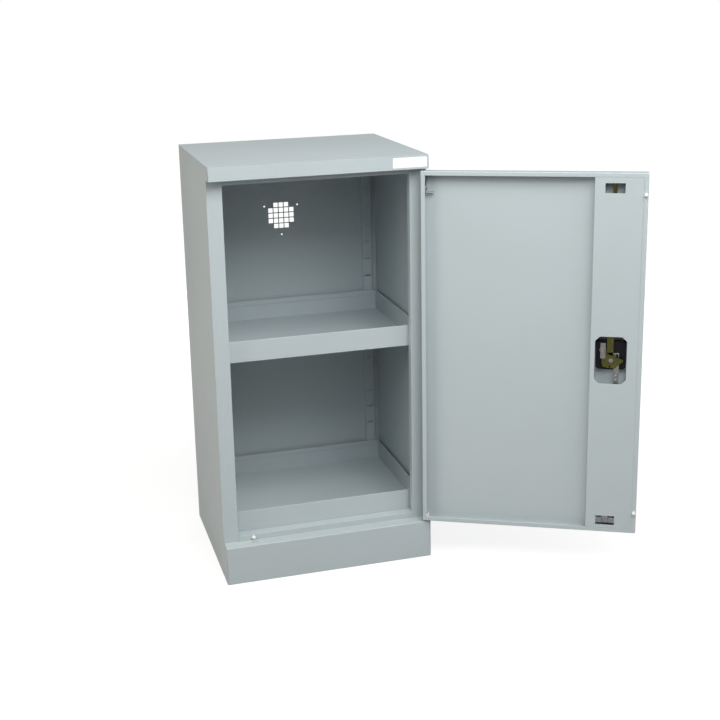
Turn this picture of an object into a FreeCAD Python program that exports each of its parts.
# Steel storage cabinet with a plinth, one hinged door, a lipped shelf and a spill tray.
# Frame: origin on the floor under the middle of the body, X to the right, Y to the back, Z up. Millimetres.
# The door and all that it carries are drawn closed, about the hinge axis, and stand open by door_angle.
import FreeCAD, Part
import math, os, re
import Sketcher
from FreeCAD import Vector

SIZES = [
    # body
    ("width", 500, "over the side panels"),
    ("depth", 420, "over the plinth and the back"),
    ("height", 980, "floor to top"),
    ("sheet", 1.0, "body sheet"),
    ("plinth_height", 92, "floor to the ledge under the door"),
    ("plinth_sheet", 1.5, "plinth sheet"),
    ("plinth_flange", 20, "flanges of the plinth frame"),
    ("ledge_depth", 60, "ledge from the front back under the floor"),
    ("fascia_height", 32, "front edge of the top"),
    ("setback", 32, "stiles behind the front"),
    ("stile_width", 35, "each stile"),
    ("stile_return", 18, "fold of a stile towards the back"),
    ("header_height", 14, "strip between the stiles at the top"),
    ("sill_height", 13, "floor of the body above the ledge"),
    ("back_flange", 12, "fold of the side panels behind the back panel"),
    # vent in the back panel
    ("vent_height", 787, "middle of the vent above the floor"),
    ("vent_square", 11.2, "square openings"),
    ("vent_pitch", 13.5, "between the squares"),
    ("spigot_circle", 98.6, "circle of the spigot holes"),
    ("spigot_hole", 4.5, "diameter"),
    # slotted uprights
    ("rack_sheet", 1.0, "upright sheet"),
    ("rack_width", 24, "slotted face"),
    ("rack_depth", 8, "face in front of the back panel"),
    ("rack_foot", 8, "flange against the back panel"),
    ("rack_inset", 13, "rear upright to side panel"),
    ("front_inset", 6, "front upright to side panel"),
    ("rack_drop", 20, "top of the uprights under the top edge's fold"),
    ("slot_length", 14.5, "slot"),
    ("slot_height", 3, "slot"),
    ("slot_edge", 4, "slot from the upright's inner edge"),
    ("slot_pitch", 45, "between slots"),
    ("first_slot", 103, "lowest slot above the floor of the body"),
    ("rack_margin", 60, "upright left plain at the top"),
    ("shelf_step", 7, "slot that carries the shelf, counted from the lowest"),
    # trays
    ("tray_sheet", 1.0, "tray sheet"),
    ("tray_wall", 50, "tray walls"),
    ("tray_hem", 12, "doubled top edge"),
    ("tray_side_gap", 5, "tray to side panel"),
    ("tray_gap", 2, "tray to uprights"),
    ("bottom_inset", 6, "spill tray behind the shelf's front"),
    ("clip_sheet", 1.6, "shelf clip"),
    ("clip_reach", 14, "tongue under the shelf"),
    ("clip_hook", 3, "hook behind the slot"),
    ("clip_play", 0.3, "hook in the slot"),
    # door
    ("door_angle", 153, "door as it stands, from closed"),
    ("door_sheet", 1.0, "door sheet"),
    ("door_depth", 24, "door thickness"),
    ("door_back", 1, "door front behind the body's front"),
    ("door_under", 4, "gap under the door"),
    ("door_over", 5, "gap over the door"),
    ("door_lip", 10, "inner lips of the door"),
    ("hinge_in", 7, "hinge axis from the side"),
    ("hinge_back", 8.5, "hinge axis behind the door's front"),
    ("post_width", 105.5, "stiffening channel"),
    # upper hinge pin
    ("pin_radius", 3, "upper hinge pin"),
    ("pin_rise", 14, "pin above the door's top"),
    ("pin_down", 51, "handle of the pin below the door's top"),
    ("pin_grip", 21, "handle of the pin from its axis"),
    ("grip_radius", 2.5, "handle of the pin"),
    ("guide_down", 36, "pin guide below the door's top"),
    ("guide_sheet", 2, "pin guide"),
    ("guide_out", 5.5, "pin guide from the pin towards the middle of the door"),
    ("guide_flange", 12, "flange of the pin guide on the door's skin"),
    ("spring_length", 20, "spring at rest"),
    ("spring_radius", 4.3, "to the middle of the wire"),
    ("spring_wire", 0.9, "diameter"),
    ("spring_turns", 6, "turns"),
    ("collar_radius", 5.5, "collar on the pin"),
    ("collar_height", 2, "collar on the pin"),
    ("bush_wall", 2, "hinge bushes"),
    ("bush_flange", 1.2, "hinge bushes"),
    ("running", 0.05, "radial play of shafts"),
    # lower hinge pin
    ("foot_radius", 4, "lower hinge pin"),
    ("foot_rise", 14, "lower pin above the door's underside"),
    ("foot_collar", 8, "radius of its collar"),
    ("foot_gap", 0.3, "collar to bush"),
    # buffers
    ("buffer_radius", 4, "door buffers"),
    ("buffer_gap", 0.5, "buffers to the closed parts"),
    ("buffer_in", 5, "buffers from the latch edge"),
    ("buffer_down", 48, "upper buffer below the door's top"),
    ("buffer_up", 51, "lower buffer above the door's underside"),
    # handle dish
    ("lock_in", 69.2, "spindle from the latch edge"),
    ("lock_z", 515.5, "spindle above the floor"),
    ("dish_width", 67, "dish"),
    ("dish_above", 43.5, "dish above the spindle"),
    ("dish_below", 23.5, "dish below the spindle"),
    ("dish_depth", 13.5, "dish behind the door's front"),
    ("dish_wall", 1.5, "dish"),
    ("dish_rim", 4, "rim around the dish"),
    ("rim_thick", 1.0, "rim in front of the door"),
    ("dish_corner", 9, "corner radius"),
    # lever, spindle and cam
    ("spindle_radius", 4.5, "spindle"),
    ("lever_length", 29, "lever from the spindle"),
    ("lever_width", 13, "lever"),
    ("lever_thick", 6.5, "lever"),
    ("lever_sunk", 1.5, "lever behind the door's front"),
    ("hub_radius", 8.5, "lever hub"),
    ("rod_gap", 1.1, "rods behind the dish"),
    ("rod_thick", 3, "rods"),
    ("shoulder_rise", 3, "each step of the upper rod's shoulder"),
    ("cam_gap", 0.5, "between rods and cam"),
    ("cam_thick", 2, "cam"),
    ("ridge_height", 4, "bent edge of the cam"),
    ("crank", 14, "cam pins from the spindle"),
    ("crank_radius", 2.5, "cam pins"),
    ("crank_play", 0.8, "cam pins in the slots, up and down"),
    ("screw_radius", 5, "head of the cam screw"),
    ("screw_head", 1.5, "head of the cam screw"),
    ("screw_core", 2, "radius of the cam screw's shank"),
    # rods
    ("rod_in", 71, "rods from the latch edge at their guides"),
    ("rod_width", 15, "upper rod beside the lock, and lower rod at its end"),
    ("tip_width", 8, "upper rod's end"),
    ("tip_length", 92, "upper rod's narrow end"),
    ("link_width", 12, "lower rod beside the lock"),
    ("rod_tip", 1, "rod ends inside the door's edges"),
    ("rod_play", 0.4, "rods in their guides"),
    ("eye_wall", 2, "rod beside its slot"),
    ("eye_edge", 3, "rod above and below its slot"),
    ("eye_gap", 0.5, "rods to the spindle"),
    ("bend_down", 80, "bend of the lower rod below the spindle"),
    ("bend_length", 26, "bend of the lower rod"),
    ("rivet_radius", 3, "rivets of the lower rod"),
    ("rivet_head", 0.5, "rivets of the lower rod"),
    ("rivet_down", 38.5, "upper rivet below the spindle"),
    ("rivet_pitch", 10, "between the rivets"),
    ("guide_strip", 1, "rod guides"),
    ("guide_tall", 13, "rod guides"),
    ("guide_span", 34, "rod guides, middle to end"),
    ("guide_below", 56, "upper rod guide below the door's top"),
    # windows in the stiffening channel
    ("window_width", 43, "rod windows"),
    ("window_height", 22, "rod windows"),
    ("upper_window", 34, "middle of the upper window below the door's top"),
    ("lower_window", 29, "middle of the lower window above the door's underside"),
    ("lock_window_left", 35, "lock window from the spindle"),
    ("lock_window_right", 36, "lock window from the spindle"),
    ("lock_window_up", 56, "lock window from the spindle"),
    ("lock_window_down", 55, "lock window from the spindle"),
    ("lock_window_cut", 10.5, "cut corners"),
    # key lock
    ("key_x", 17.8, "key barrel right of the spindle"),
    ("key_z", 22.5, "key barrel above the spindle"),
    ("barrel_radius", 8, "key barrel"),
    ("barrel_flange", 9, "key barrel"),
    ("barrel_front", 3, "key barrel in front of the dish floor"),
    ("barrel_back", 0.6, "key barrel behind the dish"),
    ("plug_radius", 5, "turning plug"),
    ("plug_sunk", 1, "plug in front of its barrel"),
    ("keyway_width", 1.5, "keyway"),
    ("keyway_height", 7, "keyway"),
    ("keyway_depth", 5, "keyway"),
    ("stem_radius", 4, "stem of the plug"),
    ("neck_radius", 3, "thread at the end of the stem"),
    ("tongue_gap", 0.5, "between cam and tongue"),
    ("tongue_thick", 1.5, "lock tongue"),
    ("tongue_width", 11.4, "lock tongue"),
    ("tongue_length", 36, "lock tongue"),
    ("nut_flat", 9, "nut across flats"),
    ("nut_height", 2.4, "nut"),
]

doc = FreeCAD.newDocument("cabinet")
sheet = doc.addObject("Spreadsheet::Sheet", "sizes")
for row, (alias, value, meaning) in enumerate(SIZES, 1):
    sheet.set(f"A{row}", meaning)
    sheet.set(f"B{row}", str(value))
    sheet.setAlias(f"B{row}", alias)
doc.recompute()
value_of = {alias: float(sheet.get(alias)) for alias, *_ in SIZES}
WORDS = re.compile(r"\b(" + "|".join(value_of) + r")\b")
pieces = []

# Places that several pieces share, as expressions of the sizes
SIDE = "(width/2 - sheet)"
FRONT = "(-depth/2)"
REAR = "(depth/2 - 2*sheet)"
STILE = f"({FRONT} + setback)"
INSIDE = f"({STILE} + stile_return)"
OPENING = "(width/2 - stile_width)"
SOFFIT = "(height - fascia_height)"
HEADER = f"({SOFFIT} - header_height)"
FLOOR = "(plinth_height + sill_height)"
RACK_TOP = f"({SOFFIT} - rack_drop)"
LOWEST_SLOT = f"({FLOOR} + first_slot)"
SHELF = f"({LOWEST_SLOT} + shelf_step*slot_pitch - slot_height/2 + clip_play + clip_sheet - tray_sheet/2)"
TRAY_SIDE = f"({SIDE} - tray_side_gap)"
TRAY_REAR = f"({REAR} - rack_depth - tray_gap)"
RACK_REAR = f"({REAR} - rack_depth)"
REAR_EDGE = f"({SIDE} - rack_inset)"
FRONT_EDGE = f"({SIDE} - front_inset)"
# door, closed
DOOR_FRONT = f"({FRONT} + door_back)"
DOOR_INNER = f"({DOOR_FRONT} + door_depth)"
DOOR_FOOT = "(plinth_height + door_under)"
DOOR_TOP = f"({SOFFIT} - door_over)"
LATCH = "(-width/2)"
HINGE_X = "(width/2 - hinge_in)"
HINGE_Y = f"({DOOR_FRONT} + hinge_back)"
POST = "(-width/2 + door_lip + post_width)"
# lock, closed
DISH_BACK = f"({DOOR_FRONT} + dish_depth)"
DISH_FLOOR = f"({DISH_BACK} - dish_wall)"
ROD_FRONT = f"({DISH_BACK} + rod_gap)"
ROD_BACK = f"({ROD_FRONT} + rod_thick)"
CAM_FRONT = f"({ROD_BACK} + cam_gap)"
CAM_BACK = f"({CAM_FRONT} + cam_thick)"
TONGUE_FRONT = f"({CAM_BACK} + tongue_gap)"
TONGUE_BACK = f"({TONGUE_FRONT} + tongue_thick)"
LOCK = f"({LATCH} + lock_in)"
ROD = f"({LATCH} + rod_in)"
ROD_LEFT = f"({ROD} - rod_width/2)"
ROD_RIGHT = f"({ROD} + rod_width/2)"
KEY_X = f"({LOCK} + key_x)"
KEY_Z = "(lock_z + key_z)"
# cam pins stand at 45 degrees above and below the spindle when the handle is open
PIN_OUT = "(crank*0.70711)"


def words(expression):
    """The expression with each size read from the sheet."""
    return WORDS.sub(r"sizes.\1", str(expression))


def body(label, on_door=False):
    """A new piece. A piece on the door is placed by its hinge axis and turned open."""
    piece = doc.addObject("PartDesign::Body", label)
    piece.Label = label
    pieces.append((piece, on_door))
    if on_door:
        piece.setExpression("Placement.Base.x", words(HINGE_X))
        piece.setExpression("Placement.Base.y", words(HINGE_Y))
        piece.setExpression("Placement.Rotation.Angle", words("door_angle"))
    return piece


def origin_of(piece):
    """What a piece's own frame takes off x, y and z of the closed cabinet."""
    on_door = next(door for each, door in pieces if each is piece)
    return (HINGE_X, HINGE_Y, "0") if on_door else ("0", "0", "0")


def rectangle(left, low, right, high):
    return [(left, low), (right, low), (right, high), (left, high)]


def rod_hole(width):
    """A hole in a flat sheet for the end of a rod."""
    return rectangle(f"{ROD} - {width}/2 - rod_play", f"{ROD_FRONT} - rod_play", f"{ROD} + {width}/2 + rod_play",
                     f"{ROD_BACK} + rod_play")


def circle(across, up, radius):
    return ("circle", across, up, radius)


def rounded(left, low, right, high, radius):
    return ("rounded", left, low, right, high, radius)


def draw(piece, role, at, loops):
    """A sketch on an origin plane of the piece, lifted to `at`, fixed by the sizes alone."""
    first, second, third = {"XY_Plane": (0, 1, 2), "XZ_Plane": (0, 2, 1), "YZ_Plane": (1, 2, 0)}[role]
    taken = origin_of(piece)
    sketch = piece.newObject("Sketcher::SketchObject", piece.Label + "_sketch")
    plane = next(each for each in piece.Origin.OriginFeatures if each.Role == role)
    sketch.AttachmentSupport = (plane, [""])
    sketch.MapMode = "FlatFace"
    turned = "-" if role == "XZ_Plane" else ""
    sketch.setExpression("AttachmentOffset.Base.z", words(f"{turned}(({at}) - {taken[third]})"))

    def size(expression):
        return float(piece.evalExpression(words(expression)))

    def hold(kind, where, expression):
        number = sketch.addConstraint(Sketcher.Constraint(kind, *where, size(expression)))
        sketch.setExpression(f"Constraints[{number}]", words(expression))

    def spot(across, up):
        return f"({across}) - {taken[first]}", f"({up}) - {taken[second]}"

    def corner(line, end, point):
        hold("DistanceX", (line, end), point[0])
        hold("DistanceY", (line, end), point[1])

    def vector(point):
        return Vector(size(point[0]), size(point[1]), 0)

    for loop in loops:
        start = sketch.GeometryCount
        if loop[0] == "circle":
            _, across, up, radius = loop
            centre = spot(across, up)
            sketch.addGeometry(Part.Circle(vector(centre), Vector(0, 0, 1), size(radius)))
            corner(start, 3, centre)
            hold("Radius", (start,), radius)
            continue
        if loop[0] == "rounded":
            _, left, low, right, high, radius = loop
            ends = [spot(f"{left} + {radius}", low), spot(f"{right} - {radius}", low),
                    spot(right, f"{low} + {radius}"), spot(right, f"{high} - {radius}"),
                    spot(f"{right} - {radius}", high), spot(f"{left} + {radius}", high),
                    spot(left, f"{high} - {radius}"), spot(left, f"{low} + {radius}")]
            sketch.addGeometry([Part.LineSegment(vector(ends[k]), vector(ends[k + 1])) for k in (0, 2, 4, 6)], False)
            turns = [spot(f"{right} - {radius}", f"{low} + {radius}"), spot(f"{right} - {radius}", f"{high} - {radius}"),
                     spot(f"{left} + {radius}", f"{high} - {radius}"), spot(f"{left} + {radius}", f"{low} + {radius}")]
            quarter = math.pi / 2
            for k, centre in enumerate(turns):
                round_part = Part.Circle(vector(centre), Vector(0, 0, 1), size(radius))
                sketch.addGeometry(Part.ArcOfCircle(round_part, (k - 1) * quarter, k * quarter), False)
            for k, centre in enumerate(turns):
                corner(start + k, 1, ends[2 * k])
                corner(start + k, 2, ends[2 * k + 1])
                sketch.addConstraint(Sketcher.Constraint("Coincident", start + 4 + k, 1, start + k, 2))
                sketch.addConstraint(Sketcher.Constraint("Coincident", start + 4 + k, 2, start + (k + 1) % 4, 1))
                hold("DistanceX", (start + 4 + k, 3), centre[0])
            continue
        count = len(loop)
        points = [spot(across, up) for across, up in loop]
        lines = [Part.LineSegment(vector(points[k]), vector(points[(k + 1) % count])) for k in range(count)]
        sketch.addGeometry(lines, False)
        for k, point in enumerate(points):
            sketch.addConstraint(Sketcher.Constraint("Coincident", start + k, 1, start + (k - 1) % count, 2))
            corner(start + k, 1, point)
    return sketch


def pad(piece, role, low, high, *loops):
    """Material between low and high along the plane's normal."""
    feature = piece.newObject("PartDesign::Pad", piece.Label + "_pad")
    feature.Profile = draw(piece, role, high if role == "XZ_Plane" else low, loops)
    feature.setExpression("Length", words(f"({high}) - ({low})"))
    piece.Tip = feature
    return feature


def pocket(piece, role, low, high, *loops):
    """Takes material away between low and high, and makes sure that it does."""
    doc.recompute()
    before = piece.Shape.Volume
    sketch = draw(piece, role, low if role == "XZ_Plane" else high, loops)
    feature = piece.newObject("PartDesign::Pocket", piece.Label + "_pocket")
    feature.Profile = sketch
    feature.setExpression("Length", words(f"({high}) - ({low})"))
    piece.Tip = feature
    doc.recompute()
    if not piece.Shape.Volume < before:
        raise RuntimeError(f"{piece.Label}: a pocket cuts nothing")
    return feature


def repeat(piece, axis, step, count):
    """Repeats the piece's last feature along its own sketch's H_Axis or V_Axis."""
    feature = piece.Tip
    if count < 2:
        return
    row = piece.newObject("PartDesign::LinearPattern", piece.Label + "_row")
    row.Originals = [feature]
    row.Direction = (feature.Profile[0], [axis])
    row.Occurrences = count
    row.setExpression("Length", words(f"{count - 1}*({step})"))
    piece.Tip = row


def mirrored(side, low, high):
    """The two limits of a stretch on the right, or of its mirror image on the left, in order."""
    return (low, high) if side > 0 else (f"-({high})", f"-({low})")


def sided(side, loop):
    """The outline, or its mirror image on the left."""
    return [(f"{side}*({across})", up) for across, up in loop]


# Body


def side_panel(label, side):
    piece = body(label)
    outline = [(FRONT, "0"), ("depth/2", "0"), ("depth/2", "height - sheet"), (FRONT, "height - sheet"),
               (FRONT, SOFFIT), (STILE, SOFFIT), (STILE, "plinth_height"), (FRONT, "plinth_height")]
    pad(piece, "YZ_Plane", *mirrored(side, SIDE, "width/2"), outline)
    stile = [(SIDE, STILE), (OPENING, STILE), (OPENING, INSIDE), (f"{OPENING} + sheet", INSIDE),
             (f"{OPENING} + sheet", f"{STILE} + sheet"), (SIDE, f"{STILE} + sheet")]
    pad(piece, "XY_Plane", "plinth_height", SOFFIT, sided(side, stile))
    fold = rectangle(f"{SIDE} - back_flange", "depth/2 - sheet", SIDE, "depth/2")
    pad(piece, "XY_Plane", "0", "height - sheet", sided(side, fold))


def back_panel():
    piece = body("back_panel")
    pad(piece, "XZ_Plane", REAR, f"{REAR} + sheet", rectangle(f"-{SIDE}", "0", SIDE, "height - sheet"))
    for row, column in ((-2, 1), (-1, 2), (0, 2), (1, 2), (2, 1)):
        square = rectangle(f"-{column}*vent_pitch - vent_square/2", f"vent_height + {row}*vent_pitch - vent_square/2",
                           f"-{column}*vent_pitch + vent_square/2", f"vent_height + {row}*vent_pitch + vent_square/2")
        pocket(piece, "XZ_Plane", REAR, f"{REAR} + sheet", square)
        repeat(piece, "H_Axis", "vent_pitch", 2 * column + 1)
    holes = [circle(f"cos({angle})*spigot_circle/2", f"vent_height + sin({angle})*spigot_circle/2",
                    "spigot_hole/2") for angle in (30, 150, 270)]
    pocket(piece, "XZ_Plane", REAR, f"{REAR} + sheet", *holes)


def top_panel():
    piece = body("top_panel")
    pad(piece, "XY_Plane", "height - sheet", "height", rectangle("-width/2", FRONT, "width/2", "depth/2"))
    front = [(FRONT, SOFFIT), (INSIDE, SOFFIT), (INSIDE, f"{SOFFIT} + sheet"),
             (f"{FRONT} + sheet", f"{SOFFIT} + sheet"), (f"{FRONT} + sheet", "height - sheet"),
             (FRONT, "height - sheet")]
    pad(piece, "YZ_Plane", f"-{SIDE}", SIDE, front)
    pad(piece, "XZ_Plane", "depth/2 - sheet", "depth/2",
        rectangle(f"back_flange - {SIDE}", "height - plinth_flange", f"{SIDE} - back_flange", "height - sheet"))
    pocket(piece, "XY_Plane", SOFFIT, f"{SOFFIT} + sheet", rod_hole("tip_width"))
    pocket(piece, "XY_Plane", SOFFIT, f"{SOFFIT} + sheet",
           circle(HINGE_X, HINGE_Y, "pin_radius + running + bush_wall"))


def header_strip():
    piece = body("header_strip")
    top = f"{SOFFIT} - sheet"
    outline = [(STILE, HEADER), (INSIDE, HEADER), (INSIDE, f"{HEADER} + sheet"),
               (f"{STILE} + sheet", f"{HEADER} + sheet"), (f"{STILE} + sheet", top), (INSIDE, top),
               (INSIDE, SOFFIT), (STILE, SOFFIT)]
    pad(piece, "YZ_Plane", f"-{OPENING}", OPENING, outline)


def floor_outline(inset):
    """The floor sheet in plan: its front reaches between the stiles to their face."""
    wide, narrow = f"({SIDE} - {inset})", f"({OPENING} - {inset})"
    front, shoulder, rear = f"{STILE} + {inset}", f"{INSIDE} + {inset}", f"{REAR} - {inset}"
    return [(f"-{narrow}", front), (narrow, front), (narrow, shoulder), (wide, shoulder), (wide, rear),
            (f"-{wide}", rear), (f"-{wide}", shoulder), (f"-{narrow}", shoulder)]


def floor_panel():
    piece = body("floor_panel")
    pad(piece, "XY_Plane", f"{FLOOR} - sheet", FLOOR, floor_outline("0"))
    pad(piece, "XY_Plane", "plinth_height", f"{FLOOR} - sheet", floor_outline("0"), floor_outline("sheet"))


def plinth_frame():
    piece = body("plinth_frame")

    def ring(low, high, inset, front):
        outer = rectangle(f"-{SIDE}", FRONT, SIDE, REAR)
        inner = rectangle(f"{inset} - {SIDE}", f"{FRONT} + {front}", f"{SIDE} - {inset}", f"{REAR} - {inset}")
        pad(piece, "XY_Plane", low, high, outer, inner)

    ring("0", "plinth_sheet", "plinth_flange", "plinth_flange")
    ring("plinth_sheet", "plinth_height - plinth_sheet", "plinth_sheet", "plinth_sheet")
    ring("plinth_height - plinth_sheet", "plinth_height", "plinth_flange", "ledge_depth")
    pocket(piece, "XY_Plane", "plinth_height - plinth_sheet", "plinth_height", rod_hole("rod_width"))
    pocket(piece, "XY_Plane", "plinth_height - plinth_sheet", "plinth_height",
           circle(HINGE_X, HINGE_Y, "foot_radius"))


def slot_count():
    """Slots that fit between the lowest one and the plain top of an upright."""
    bottom = value_of["plinth_height"] + value_of["sill_height"] + value_of["first_slot"]
    top = value_of["height"] - value_of["fascia_height"] - value_of["rack_drop"] - value_of["rack_margin"]
    return 1 + int((top - bottom) / value_of["slot_pitch"])


def cut_slots(piece, side, inner_edge, low, high):
    """The slots of an upright whose edge towards the middle is at inner_edge."""
    left, right = mirrored(side, f"{inner_edge} + slot_edge", f"{inner_edge} + slot_edge + slot_length")
    pocket(piece, "XZ_Plane", low, high,
           rectangle(left, f"{LOWEST_SLOT} - slot_height/2", right, f"{LOWEST_SLOT} + slot_height/2"))
    repeat(piece, "V_Axis", "slot_pitch", slot_count())


def rear_upright(label, side):
    piece = body(label)
    inner = f"({REAR_EDGE} - rack_width)"
    outline = [(inner, REAR), (inner, RACK_REAR), (REAR_EDGE, RACK_REAR), (REAR_EDGE, f"{REAR} - rack_sheet"),
               (f"{REAR_EDGE} + rack_foot", f"{REAR} - rack_sheet"), (f"{REAR_EDGE} + rack_foot", REAR),
               (f"{REAR_EDGE} - rack_sheet", REAR), (f"{REAR_EDGE} - rack_sheet", f"{RACK_REAR} + rack_sheet"),
               (f"{inner} + rack_sheet", f"{RACK_REAR} + rack_sheet"), (f"{inner} + rack_sheet", REAR)]
    pad(piece, "XY_Plane", FLOOR, RACK_TOP, sided(side, outline))
    cut_slots(piece, side, inner, RACK_REAR, f"{RACK_REAR} + rack_sheet")


def front_upright(label, side):
    piece = body(label)
    inner = f"({FRONT_EDGE} - rack_width)"
    foot = f"{STILE} + sheet"
    outline = [(inner, foot), (inner, INSIDE), (FRONT_EDGE, INSIDE), (FRONT_EDGE, foot),
               (f"{FRONT_EDGE} - rack_sheet", foot), (f"{FRONT_EDGE} - rack_sheet", f"{INSIDE} - rack_sheet"),
               (f"{inner} + rack_sheet", f"{INSIDE} - rack_sheet"), (f"{inner} + rack_sheet", foot)]
    pad(piece, "XY_Plane", "plinth_height", RACK_TOP, sided(side, outline))
    cut_slots(piece, side, inner, f"{INSIDE} - rack_sheet", INSIDE)


def shelf_clip(label, side, face, facing, inner_edge):
    """A clip in the slot at shelf height. It stands on the upright's face and carries the shelf."""
    piece = body(label)
    slot_foot = f"({LOWEST_SLOT} + shelf_step*slot_pitch - slot_height/2)"
    hook = f"({slot_foot} + clip_play)"
    left, right = mirrored(side, f"{inner_edge} + slot_edge + clip_play",
                           f"{inner_edge} + slot_edge + slot_length - clip_play")

    def place(steps):
        return f"{face} + {facing}*({steps})"

    behind = place("-rack_sheet - clip_hook")
    plate = place("clip_sheet")
    tip = place("clip_sheet + clip_reach")
    outline = [(behind, hook), (behind, f"{hook} + clip_sheet"), (plate, f"{hook} + clip_sheet"),
               (plate, SHELF), (tip, SHELF), (tip, f"{SHELF} - clip_sheet"),
               (plate, f"{SHELF} - clip_sheet"), (plate, f"{SHELF} - clip_sheet - clip_reach"),
               (place("0"), f"{SHELF} - clip_sheet - clip_reach"), (place("0"), hook)]
    pad(piece, "YZ_Plane", left, right, outline)


def tray(label, front, base):
    piece = body(label)
    outer = rectangle(f"-{TRAY_SIDE}", front, TRAY_SIDE, TRAY_REAR)

    def inner(inset):
        return rectangle(f"{inset} - {TRAY_SIDE}", f"{front} + {inset}", f"{TRAY_SIDE} - {inset}",
                         f"{TRAY_REAR} - {inset}")

    pad(piece, "XY_Plane", base, f"{base} + tray_sheet", outer)
    pad(piece, "XY_Plane", f"{base} + tray_sheet", f"{base} + tray_wall - tray_hem", outer, inner("tray_sheet"))
    pad(piece, "XY_Plane", f"{base} + tray_wall - tray_hem", f"{base} + tray_wall", outer,
        inner("2*tray_sheet"))


def lower_hinge_pin():
    piece = body("lower_hinge_pin")
    pad(piece, "XY_Plane", "plinth_height", f"{DOOR_FOOT} + foot_rise", circle(HINGE_X, HINGE_Y, "foot_radius"))
    pad(piece, "XY_Plane", "plinth_height", f"{DOOR_FOOT} - bush_flange - foot_gap",
        circle(HINGE_X, HINGE_Y, "foot_collar"))
    pad(piece, "XY_Plane", "plinth_height - 2*plinth_sheet", "plinth_height",
        circle(HINGE_X, HINGE_Y, "foot_radius"))


def flanged_bush(label, on_door, base, radius, length, flange_low):
    """A nylon bush through a sheet, with its flange from flange_low to the sheet at base."""
    piece = body(label, on_door)
    bore = circle(HINGE_X, HINGE_Y, f"{radius} + running")
    pad(piece, "XY_Plane", base, f"{base} + {length}", circle(HINGE_X, HINGE_Y, f"{radius} + running + bush_wall"),
        bore)
    pad(piece, "XY_Plane", flange_low, base, circle(HINGE_X, HINGE_Y, f"{radius} + running + 2*bush_wall"), bore)


def buffer(piece, across, up, face):
    pad(piece, "XZ_Plane", face, f"{STILE} - buffer_gap", circle(across, up, "buffer_radius"))


def sill_buffer():
    piece = body("sill_buffer")
    pad(piece, "XZ_Plane", f"{DOOR_INNER} + buffer_gap", STILE,
        circle(ROD, "plinth_height + sill_height/2", "buffer_radius"))


# Door


def door_skin():
    piece = body("door_skin", True)
    outer = rectangle(LATCH, DOOR_FOOT, "width/2", DOOR_TOP)

    def inner(inset):
        return rectangle(f"{LATCH} + {inset}", f"{DOOR_FOOT} + {inset}", f"width/2 - {inset}",
                         f"{DOOR_TOP} - {inset}")

    pad(piece, "XZ_Plane", DOOR_FRONT, f"{DOOR_FRONT} + door_sheet", outer)
    pad(piece, "XZ_Plane", f"{DOOR_FRONT} + door_sheet", f"{DOOR_INNER} - door_sheet", outer, inner("door_sheet"))
    pad(piece, "XZ_Plane", f"{DOOR_INNER} - door_sheet", DOOR_INNER, outer, inner("door_lip"))
    opening = rectangle(f"{LOCK} - dish_width/2", "lock_z - dish_below", f"{LOCK} + dish_width/2",
                        "lock_z + dish_above")
    pocket(piece, "XZ_Plane", DOOR_FRONT, f"{DOOR_FRONT} + door_sheet", opening)
    for low, high, width in ((f"{DOOR_TOP} - door_sheet", DOOR_TOP, "tip_width"),
                             (DOOR_FOOT, f"{DOOR_FOOT} + door_sheet", "rod_width")):
        pocket(piece, "XY_Plane", low, high, rod_hole(width))
    pocket(piece, "XY_Plane", f"{DOOR_TOP} - door_sheet", DOOR_TOP,
           circle(HINGE_X, HINGE_Y, "pin_radius + running"))
    pocket(piece, "XY_Plane", DOOR_FOOT, f"{DOOR_FOOT} + door_sheet",
           circle(HINGE_X, HINGE_Y, "foot_radius + running + bush_wall"))


def door_stiffener():
    piece = body("door_stiffener", True)
    low, high = f"{DOOR_FOOT} + door_lip", f"{DOOR_TOP} - door_lip"
    left, right, cut = f"({LOCK} - lock_window_left)", f"({LOCK} + lock_window_right)", "lock_window_cut"
    down, up = "(lock_z - lock_window_down)", "(lock_z + lock_window_up)"
    lock_window = [(f"{left} + {cut}", down), (f"{right} - {cut}", down), (right, f"{down} + {cut}"),
                   (right, f"{up} - {cut}"), (f"{right} - {cut}", up), (f"{left} + {cut}", up),
                   (left, f"{up} - {cut}"), (left, f"{down} + {cut}")]
    rod_windows = [rectangle(f"{ROD} - window_width/2", f"{middle} - window_height/2",
                             f"{ROD} + window_width/2", f"{middle} + window_height/2")
                   for middle in (f"({DOOR_TOP} - upper_window)", f"({DOOR_FOOT} + lower_window)")]
    pad(piece, "XZ_Plane", f"{DOOR_INNER} - door_sheet", DOOR_INNER,
        rectangle(f"{LATCH} + door_lip", low, POST, high), lock_window, *rod_windows)
    pad(piece, "YZ_Plane", f"{POST} - door_sheet", POST,
        rectangle(f"{DOOR_FRONT} + door_sheet", low, f"{DOOR_INNER} - door_sheet", high))


def door_buffer(label, up):
    piece = body(label, True)
    buffer(piece, f"{LATCH} + buffer_in", up, DOOR_INNER)


def pin_guide():
    piece = body("pin_guide", True)
    low = f"{DOOR_TOP} - guide_down"
    left, right = f"{HINGE_X} - guide_out", "width/2 - door_sheet"
    skin = f"{DOOR_FRONT} + door_sheet"
    pad(piece, "XY_Plane", f"{low} - guide_sheet", low,
        rectangle(left, skin, right, f"{DOOR_INNER} - 2*door_sheet"), circle(HINGE_X, HINGE_Y, "pin_radius + running"))
    pad(piece, "XZ_Plane", skin, f"{skin} + guide_sheet",
        rectangle(left, f"{low} - guide_sheet - guide_flange", right, low))


def upper_hinge_pin():
    piece = body("upper_hinge_pin", True)
    handle = f"({DOOR_TOP} - pin_down)"
    pad(piece, "XY_Plane", f"{handle} - pin_radius", f"{DOOR_TOP} + pin_rise", circle(HINGE_X, HINGE_Y, "pin_radius"))
    pad(piece, "YZ_Plane", f"{HINGE_X} - pin_grip", HINGE_X, circle(HINGE_Y, handle, "grip_radius"))


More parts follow.
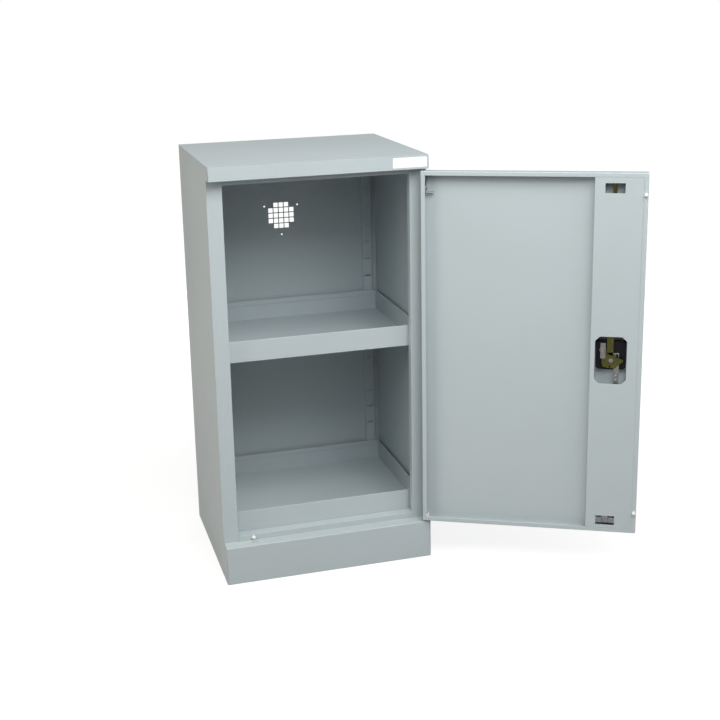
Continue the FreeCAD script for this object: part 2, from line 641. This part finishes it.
def pin_collar():
    piece = body("pin_collar", True)
    low = f"({DOOR_TOP} - guide_down + spring_length)"
    pad(piece, "XY_Plane", low, f"{low} + collar_height", circle(HINGE_X, HINGE_Y, "collar_radius"),
        circle(HINGE_X, HINGE_Y, "pin_radius"))


def pin_spring():
    """The spring between guide and collar, drawn as one helix of round wire."""
    piece = body("pin_spring", True)
    low = f"{DOOR_TOP} - guide_down"
    wire = draw(piece, "XZ_Plane", HINGE_Y, [circle(f"{HINGE_X} + spring_radius", f"{low} + spring_wire/2",
                                                    "spring_wire/2")])
    helix = piece.newObject("PartDesign::AdditiveHelix", "pin_spring_helix")
    helix.Profile = wire
    helix.ReferenceAxis = (wire, ["V_Axis"])
    helix.Mode = 1
    helix.setExpression("Pitch", words("(spring_length - spring_wire)/spring_turns"))
    helix.setExpression("Turns", words("spring_turns"))
    piece.Tip = helix


# Lock


def handle_dish():
    piece = body("handle_dish", True)
    left, right = f"({LOCK} - dish_width/2)", f"({LOCK} + dish_width/2)"
    low, high = "(lock_z - dish_below)", "(lock_z + dish_above)"

    def outline(grow):
        return rounded(f"({left} - {grow})", f"({low} - {grow})", f"({right} + {grow})", f"({high} + {grow})",
                       f"(dish_corner + {grow})")

    pad(piece, "XZ_Plane", f"{DOOR_FRONT} - rim_thick", DOOR_FRONT, outline("dish_rim"), outline("(-dish_wall)"))
    pad(piece, "XZ_Plane", DOOR_FRONT, DISH_FLOOR, outline("0"), outline("(-dish_wall)"))
    pad(piece, "XZ_Plane", DISH_FLOOR, DISH_BACK, outline("0"), circle(LOCK, "lock_z", "spindle_radius + running"),
        circle(KEY_X, KEY_Z, "barrel_radius"))


def lever():
    piece = body("handle_lever", True)
    front = f"({DOOR_FRONT} + lever_sunk)"
    pad(piece, "XZ_Plane", front, f"{front} + lever_thick",
        rectangle(f"{LOCK} - lever_width/2", "lock_z", f"{LOCK} + lever_width/2", "lock_z + lever_length"))
    pad(piece, "XZ_Plane", front, f"{DISH_FLOOR} - rod_play", circle(LOCK, "lock_z", "hub_radius"))
    pocket(piece, "XZ_Plane", f"{front} + lever_thick/2", f"{DISH_FLOOR} - rod_play",
           circle(LOCK, "lock_z", "spindle_radius"))


def spindle():
    piece = body("spindle", True)
    pad(piece, "XZ_Plane", f"{DOOR_FRONT} + lever_sunk + lever_thick/2", CAM_BACK,
        circle(LOCK, "lock_z", "spindle_radius"))
    pocket(piece, "XZ_Plane", f"{DISH_BACK}", CAM_BACK, circle(LOCK, "lock_z", "screw_core"))


def cam():
    piece = body("cam", True)

    def spot(across, up):
        return (f"{LOCK} + crank*({across})", f"lock_z + crank*({up})")

    plate = [spot(-2, -0.2), spot(-1.93, 0.2), spot(0.5, 1.08), spot(0.86, 0.93), spot(1.43, 0.36),
             spot(1.43, -0.57), spot(1, -1.21), spot(-0.71, -1.4), spot(-1.14, -0.86)]
    pad(piece, "XZ_Plane", CAM_FRONT, CAM_BACK, plate, circle(LOCK, "lock_z", "spindle_radius"),
        circle(f"{LOCK} + crank*0.16", "lock_z - crank*1.07", "screw_core"))
    ridge = [spot(-1.93, 0.06), spot(-1.93, 0.2), spot(0.5, 1.08), spot(0.5, 0.94)]
    pad(piece, "XZ_Plane", CAM_BACK, f"{CAM_BACK} + ridge_height", ridge)


def cam_pin(label, side):
    piece = body(label, True)
    pad(piece, "XZ_Plane", f"{ROD_FRONT} + rod_play/2", CAM_FRONT,
        circle(f"{LOCK} + {side}*{PIN_OUT}", f"lock_z - {side}*{PIN_OUT}", "crank_radius"))


def cam_screw():
    piece = body("cam_screw", True)
    pad(piece, "XZ_Plane", CAM_BACK, f"{CAM_BACK} + screw_head", circle(LOCK, "lock_z", "screw_radius"))
    pad(piece, "XZ_Plane", f"{DISH_BACK} + rod_play", CAM_BACK, circle(LOCK, "lock_z", "screw_core"))


EYE_NEAR = f"({PIN_OUT} - crank_radius - running)"
EYE_FAR = "(crank + crank_radius + running)"
EYE_TALL = "(crank_radius + crank_play)"


def eye_slot(side):
    """The slot of a rod that a cam pin runs in."""
    middle = f"(lock_z - {side}*{PIN_OUT})"
    return rectangle(*[each for pair in zip(mirrored_at_lock(side, EYE_NEAR, EYE_FAR),
                                            (f"{middle} - {EYE_TALL}", f"{middle} + {EYE_TALL}")) for each in pair])


def mirrored_at_lock(side, low, high):
    low, high = mirrored(side, low, high)
    return f"{LOCK} + {low}", f"{LOCK} + {high}"


def upper_rod():
    piece = body("upper_rod", True)
    near, far = f"({LOCK} + spindle_radius + eye_gap)", f"({LOCK} + {EYE_FAR} + eye_wall)"
    eye = f"(lock_z - {PIN_OUT})"
    low, high = f"{eye} - {EYE_TALL} - eye_edge", f"{eye} + {EYE_TALL} + eye_edge"
    neck = f"({KEY_X} - stem_radius - 2*eye_gap)"
    shoulder = f"(lock_z + {PIN_OUT} + {EYE_TALL} + eye_edge + 2*eye_gap)"
    outline = [(near, low), (far, low), (far, high), (neck, high), (neck, f"{shoulder} + shoulder_rise"),
               (ROD_RIGHT, f"{shoulder} + 2*shoulder_rise"), (ROD_RIGHT, f"{DOOR_TOP} - tip_length"),
               (f"{ROD} + tip_width/2", f"{DOOR_TOP} - tip_length + shoulder_rise"),
               (f"{ROD} + tip_width/2", f"{DOOR_TOP} - rod_tip"), (f"{ROD} - tip_width/2", f"{DOOR_TOP} - rod_tip"),
               (f"{ROD} - tip_width/2", f"{DOOR_TOP} - tip_length + shoulder_rise"),
               (ROD_LEFT, f"{DOOR_TOP} - tip_length"), (ROD_LEFT, shoulder), (near, shoulder)]
    pad(piece, "XZ_Plane", ROD_FRONT, ROD_BACK, outline, eye_slot(1))


def lower_rod():
    piece = body("lower_rod", True)
    near, far = f"({LOCK} - spindle_radius - eye_gap)", f"({LOCK} - {EYE_FAR} - eye_wall)"
    eye = f"(lock_z + {PIN_OUT})"
    low, high = f"{eye} - {EYE_TALL} - eye_edge", f"{eye} + {EYE_TALL} + eye_edge"
    bend = "(lock_z - bend_down)"
    outline = [(far, high), (far, bend), (ROD_LEFT, f"{bend} - bend_length"),
               (ROD_LEFT, f"{DOOR_FOOT} + rod_tip"), (ROD_RIGHT, f"{DOOR_FOOT} + rod_tip"),
               (ROD_RIGHT, f"{bend} - bend_length"), (f"{far} + link_width", bend),
               (f"{far} + link_width", low), (near, low), (near, high)]
    pad(piece, "XZ_Plane", ROD_FRONT, ROD_BACK, outline, eye_slot(-1))


def rod_rivet(label, down):
    piece = body(label, True)
    middle = f"{LOCK} - {EYE_FAR} - eye_wall + link_width/2"
    pad(piece, "XZ_Plane", ROD_BACK, f"{ROD_BACK} + rivet_head", circle(middle, f"lock_z - {down}", "rivet_radius"))


def rod_guide(label, middle, width):
    """A folded strip: feet on the channel, legs beside the rod, a bridge between rod and door skin."""
    piece = body(label, True)
    leg = f"({width}/2 + rod_play)"
    web = f"{DOOR_INNER} - door_sheet"
    bridge = f"({ROD_FRONT} - rod_play)"
    outline = [("guide_span", web), ("guide_span", f"{web} - guide_strip"),
               (f"{leg} + guide_strip", f"{web} - guide_strip"), (f"{leg} + guide_strip", f"{bridge} - guide_strip"),
               (f"-{leg} - guide_strip", f"{bridge} - guide_strip"), (f"-{leg} - guide_strip", f"{web} - guide_strip"),
               ("-guide_span", f"{web} - guide_strip"), ("-guide_span", web), (f"-{leg}", web), (f"-{leg}", bridge),
               (leg, bridge), (leg, web)]
    pad(piece, "XY_Plane", f"{middle} - guide_tall/2", f"{middle} + guide_tall/2",
        [(f"{ROD} + {across}", up) for across, up in outline])


def lock_barrel():
    piece = body("lock_barrel", True)
    bore = circle(KEY_X, KEY_Z, "plug_radius + running")
    pad(piece, "XZ_Plane", DISH_FLOOR, f"{DISH_BACK} + barrel_back", circle(KEY_X, KEY_Z, "barrel_radius"), bore)
    pad(piece, "XZ_Plane", f"{DISH_FLOOR} - barrel_front", DISH_FLOOR, circle(KEY_X, KEY_Z, "barrel_flange"), bore)


def lock_plug():
    piece = body("lock_plug", True)
    front = f"({DISH_FLOOR} - barrel_front - plug_sunk)"
    pad(piece, "XZ_Plane", front, f"{DISH_BACK}", circle(KEY_X, KEY_Z, "plug_radius"))
    pad(piece, "XZ_Plane", f"{DISH_BACK}", TONGUE_FRONT, circle(KEY_X, KEY_Z, "stem_radius"))
    pad(piece, "XZ_Plane", TONGUE_FRONT, f"{TONGUE_BACK} + nut_height", circle(KEY_X, KEY_Z, "neck_radius"))
    pocket(piece, "XZ_Plane", front, f"{front} + keyway_depth",
           rectangle(f"{KEY_X} - keyway_width/2", f"{KEY_Z} - keyway_height/2", f"{KEY_X} + keyway_width/2",
                     f"{KEY_Z} + keyway_height/2"))


def lock_tongue():
    piece = body("lock_tongue", True)
    pad(piece, "XZ_Plane", TONGUE_FRONT, TONGUE_BACK,
        rectangle(f"{KEY_X} - tongue_width/2", f"{KEY_Z} - tongue_length/2", f"{KEY_X} + tongue_width/2",
                  f"{KEY_Z} + tongue_length/2"), circle(KEY_X, KEY_Z, "neck_radius"))


def tongue_nut():
    piece = body("tongue_nut", True)
    corners = [(f"{KEY_X} + cos({60 * k})*nut_flat/2/cos(30)", f"{KEY_Z} + sin({60 * k})*nut_flat/2/cos(30)")
               for k in range(6)]
    pad(piece, "XZ_Plane", TONGUE_BACK, f"{TONGUE_BACK} + nut_height", corners, circle(KEY_X, KEY_Z, "neck_radius"))


side_panel("left_side_panel", -1)
side_panel("right_side_panel", 1)
back_panel()
top_panel()
header_strip()
floor_panel()
plinth_frame()
for name, side in (("left", -1), ("right", 1)):
    rear_upright(f"rear_{name}_upright", side)
    front_upright(f"front_{name}_upright", side)
    shelf_clip(f"rear_{name}_shelf_clip", side, RACK_REAR, -1, f"({REAR_EDGE} - rack_width)")
    shelf_clip(f"front_{name}_shelf_clip", side, INSIDE, 1, f"({FRONT_EDGE} - rack_width)")
tray("shelf_tray", f"({INSIDE} + tray_gap)", SHELF)
tray("spill_tray", f"({INSIDE} + tray_gap + bottom_inset)", FLOOR)
lower_hinge_pin()
flanged_bush("upper_hinge_bush", False, SOFFIT, "pin_radius", "2*sheet", f"{SOFFIT} - bush_flange")
sill_buffer()
door_skin()
door_stiffener()
door_buffer("upper_door_buffer", f"{DOOR_TOP} - buffer_down")
door_buffer("lower_door_buffer", f"{DOOR_FOOT} + buffer_up")
flanged_bush("lower_hinge_bush", True, DOOR_FOOT, "foot_radius", "foot_rise - foot_gap",
             f"{DOOR_FOOT} - bush_flange")
pin_guide()
upper_hinge_pin()
pin_collar()
pin_spring()
handle_dish()
lever()
spindle()
cam()
cam_pin("upper_rod_pin", 1)
cam_pin("lower_rod_pin", -1)
cam_screw()
upper_rod()
lower_rod()
rod_rivet("upper_rod_rivet", "rivet_down")
rod_rivet("lower_rod_rivet", "rivet_down - rivet_pitch")
rod_guide("upper_rod_guide", f"({DOOR_TOP} - guide_below)", "tip_width")
rod_guide("lower_rod_guide", f"({DOOR_FOOT} + lower_window)", "rod_width")
lock_barrel()
lock_plug()
lock_tongue()
tongue_nut()
doc.recompute()

for each in doc.Objects:
    if {"Invalid", "Error"} & set(each.State):
        raise RuntimeError(f"{each.Name}: {each.State}")
os.makedirs("parts", exist_ok=True)
for piece, _ in pieces:
    shape = piece.Shape
    if shape.isNull() or not shape.isValid() or len(shape.Solids) != 1:
        raise RuntimeError(f"{piece.Label}: no sound solid")
    shape.exportStep(f"parts/{piece.Label}.step")
    print(f"{piece.Label}: {shape.Volume:.0f} mm3")
print(f"{len(pieces)} pieces")
